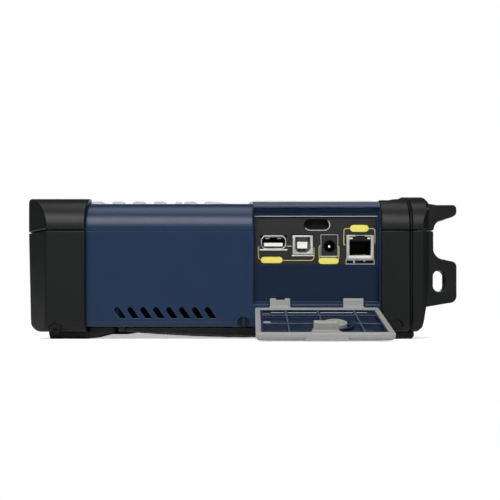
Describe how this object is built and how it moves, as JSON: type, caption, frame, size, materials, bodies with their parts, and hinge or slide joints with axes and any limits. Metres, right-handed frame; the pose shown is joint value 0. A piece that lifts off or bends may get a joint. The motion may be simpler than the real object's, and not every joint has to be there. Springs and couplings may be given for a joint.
{
  "type": "handheld vector network analyzer",
  "caption": "Rugged handheld network analyzer in blue with black end bumpers, a keypad beside a wide display, coaxial test ports and an open port door.",
  "frame": {"origin": "middle of the outline seen from above, with the port door open, at the height of the feet", "axes": "+X along the body towards the test ports, +Y from the port side to the fan side, +Z out of the screen, up"},
  "size_m": [0.233, 0.232, 0.0782],
  "materials": {
    "case_blue": "fine textured moulded navy plastic",
    "bumper_black": "soft matt over-moulded rubber",
    "fascia_grey": "matt dark fascia",
    "bezel_grey": "matt light grey",
    "window_glass": "glossy tinted window",
    "sheet_steel": "plain",
    "panel_black": "matt black",
    "label_yellow": "printed blank label",
    "socket_steel": "plated shell",
    "circuit_board": "solder mask",
    "seal_grey": "matt soft seal",
    "strap_fabric": "woven webbing",
    "battery_black": "shrink wrap",
    "cover_black": "textured",
    "shield_metal": "satin",
    "fan_black": "plain",
    "end_panel_metal": "satin powder coat",
    "port_metal": "white bronze plated",
    "foot_rubber": "matt",
    "screw_steel": "blackened",
    "key_rubber": "matt silicone"
  },
  "bodies": {
    "case": {"upper_case": "case_blue", "lower_case": "case_blue", "bottom_bumper_upper": "bumper_black", "bottom_bumper_lower": "bumper_black", "top_bumper_upper": "bumper_black", "top_bumper_lower": "bumper_black", "keypad_fascia": "fascia_grey", "display_bezel": "bezel_grey", "display_window": "window_glass", "display_module": "sheet_steel", "port_panel": "panel_black", "port_labels": "label_yellow", "usb_host_port": "socket_steel", "usb_device_port": "socket_steel", "dc_jack": "panel_black", "lan_port": "socket_steel", "port_board": "circuit_board", "door_hinge_pins": "sheet_steel", "hand_strap": "strap_fabric", "strap_anchors": "end_panel_metal", "battery_pack": "battery_black", "battery_cover": "cover_black", "main_board": "circuit_board", "rf_board": "circuit_board", "rf_shield": "shield_metal", "keypad_board": "circuit_board", "fan_frame": "fan_black", "rf_end_panel": "end_panel_metal", "rf_port_1": "port_metal", "rf_port_2": "port_metal", "rubber_feet": "foot_rubber", "cover_screws": "screw_steel"},
    "door": {"port_door": "case_blue", "door_seal": "seal_grey"},
    "fan": {"fan_rotor": "fan_black"},
    "key_1_1": {"key_1_1": "key_rubber"},
    "key_1_2": {"key_1_2": "key_rubber"},
    "key_1_3": {"key_1_3": "key_rubber"},
    "key_1_4": {"key_1_4": "key_rubber"},
    "key_1_5": {"key_1_5": "key_rubber"},
    "key_2_1": {"key_2_1": "key_rubber"},
    "key_2_2": {"key_2_2": "key_rubber"},
    "key_2_3": {"key_2_3": "key_rubber"},
    "key_2_4": {"key_2_4": "key_rubber"},
    "key_2_5": {"key_2_5": "key_rubber"},
    "key_3_1": {"key_3_1": "key_rubber"},
    "key_3_2": {"key_3_2": "key_rubber"},
    "key_3_3": {"key_3_3": "key_rubber"},
    "key_3_4": {"key_3_4": "key_rubber"},
    "key_3_5": {"key_3_5": "key_rubber"},
    "key_4_1": {"key_4_1": "key_rubber"},
    "key_4_2": {"key_4_2": "key_rubber"},
    "key_4_3": {"key_4_3": "key_rubber"},
    "key_4_4": {"key_4_4": "key_rubber"},
    "key_4_5": {"key_4_5": "key_rubber"},
    "soft_key_1": {"soft_key_1": "key_rubber"},
    "soft_key_2": {"soft_key_2": "key_rubber"},
    "soft_key_3": {"soft_key_3": "key_rubber"},
    "soft_key_4": {"soft_key_4": "key_rubber"},
    "power_key": {"power_key": "key_rubber"}
  },
  "joints": [
    {"name": "door_hinge", "type": "hinge", "parent": "case", "child": "door", "pos_m": [0.0415, -0.0638, 0.0166], "axis": [1, 0, 0], "range_deg": [-105, 0]},
    {"name": "fan_spin", "type": "hinge", "parent": "case", "child": "fan", "pos_m": [-0.0335, 0.1054, 0.046], "axis": [0, 1, 0], "continuous": true},
    {"name": "key_1_1_press", "type": "slide", "parent": "case", "child": "key_1_1", "axis": [0, 0, -1], "range_m": [0, 0.0008], "stiffness_N_per_m": 1200, "springref_m": -0.0004},
    {"name": "key_1_2_press", "type": "slide", "parent": "case", "child": "key_1_2", "axis": [0, 0, -1], "range_m": [0, 0.0008], "stiffness_N_per_m": 1200, "springref_m": -0.0004},
    {"name": "key_1_3_press", "type": "slide", "parent": "case", "child": "key_1_3", "axis": [0, 0, -1], "range_m": [0, 0.0008], "stiffness_N_per_m": 1200, "springref_m": -0.0004},
    {"name": "key_1_4_press", "type": "slide", "parent": "case", "child": "key_1_4", "axis": [0, 0, -1], "range_m": [0, 0.0008], "stiffness_N_per_m": 1200, "springref_m": -0.0004},
    {"name": "key_1_5_press", "type": "slide", "parent": "case", "child": "key_1_5", "axis": [0, 0, -1], "range_m": [0, 0.0008], "stiffness_N_per_m": 1200, "springref_m": -0.0004},
    {"name": "key_2_1_press", "type": "slide", "parent": "case", "child": "key_2_1", "axis": [0, 0, -1], "range_m": [0, 0.0008], "stiffness_N_per_m": 1200, "springref_m": -0.0004},
    {"name": "key_2_2_press", "type": "slide", "parent": "case", "child": "key_2_2", "axis": [0, 0, -1], "range_m": [0, 0.0008], "stiffness_N_per_m": 1200, "springref_m": -0.0004},
    {"name": "key_2_3_press", "type": "slide", "parent": "case", "child": "key_2_3", "axis": [0, 0, -1], "range_m": [0, 0.0008], "stiffness_N_per_m": 1200, "springref_m": -0.0004},
    {"name": "key_2_4_press", "type": "slide", "parent": "case", "child": "key_2_4", "axis": [0, 0, -1], "range_m": [0, 0.0008], "stiffness_N_per_m": 1200, "springref_m": -0.0004},
    {"name": "key_2_5_press", "type": "slide", "parent": "case", "child": "key_2_5", "axis": [0, 0, -1], "range_m": [0, 0.0008], "stiffness_N_per_m": 1200, "springref_m": -0.0004},
    {"name": "key_3_1_press", "type": "slide", "parent": "case", "child": "key_3_1", "axis": [0, 0, -1], "range_m": [0, 0.0008], "stiffness_N_per_m": 1200, "springref_m": -0.0004},
    {"name": "key_3_2_press", "type": "slide", "parent": "case", "child": "key_3_2", "axis": [0, 0, -1], "range_m": [0, 0.0008], "stiffness_N_per_m": 1200, "springref_m": -0.0004},
    {"name": "key_3_3_press", "type": "slide", "parent": "case", "child": "key_3_3", "axis": [0, 0, -1], "range_m": [0, 0.0008], "stiffness_N_per_m": 1200, "springref_m": -0.0004},
    {"name": "key_3_4_press", "type": "slide", "parent": "case", "child": "key_3_4", "axis": [0, 0, -1], "range_m": [0, 0.0008], "stiffness_N_per_m": 1200, "springref_m": -0.0004},
    {"name": "key_3_5_press", "type": "slide", "parent": "case", "child": "key_3_5", "axis": [0, 0, -1], "range_m": [0, 0.0008], "stiffness_N_per_m": 1200, "springref_m": -0.0004},
    {"name": "key_4_1_press", "type": "slide", "parent": "case", "child": "key_4_1", "axis": [0, 0, -1], "range_m": [0, 0.0008], "stiffness_N_per_m": 1200, "springref_m": -0.0004},
    {"name": "key_4_2_press", "type": "slide", "parent": "case", "child": "key_4_2", "axis": [0, 0, -1], "range_m": [0, 0.0008], "stiffness_N_per_m": 1200, "springref_m": -0.0004},
    {"name": "key_4_3_press", "type": "slide", "parent": "case", "child": "key_4_3", "axis": [0, 0, -1], "range_m": [0, 0.0008], "stiffness_N_per_m": 1200, "springref_m": -0.0004},
    {"name": "key_4_4_press", "type": "slide", "parent": "case", "child": "key_4_4", "axis": [0, 0, -1], "range_m": [0, 0.0008], "stiffness_N_per_m": 1200, "springref_m": -0.0004},
    {"name": "key_4_5_press", "type": "slide", "parent": "case", "child": "key_4_5", "axis": [0, 0, -1], "range_m": [0, 0.0008], "stiffness_N_per_m": 1200, "springref_m": -0.0004},
    {"name": "soft_key_1_press", "type": "slide", "parent": "case", "child": "soft_key_1", "axis": [0, 0, -1], "range_m": [0, 0.0008], "stiffness_N_per_m": 1200, "springref_m": -0.0004},
    {"name": "soft_key_2_press", "type": "slide", "parent": "case", "child": "soft_key_2", "axis": [0, 0, -1], "range_m": [0, 0.0008], "stiffness_N_per_m": 1200, "springref_m": -0.0004},
    {"name": "soft_key_3_press", "type": "slide", "parent": "case", "child": "soft_key_3", "axis": [0, 0, -1], "range_m": [0, 0.0008], "stiffness_N_per_m": 1200, "springref_m": -0.0004},
    {"name": "soft_key_4_press", "type": "slide", "parent": "case", "child": "soft_key_4", "axis": [0, 0, -1], "range_m": [0, 0.0008], "stiffness_N_per_m": 1200, "springref_m": -0.0004},
    {"name": "power_key_press", "type": "slide", "parent": "case", "child": "power_key", "axis": [0, 0, -1], "range_m": [0, 0.0008], "stiffness_N_per_m": 1200, "springref_m": -0.0004}
  ]
}
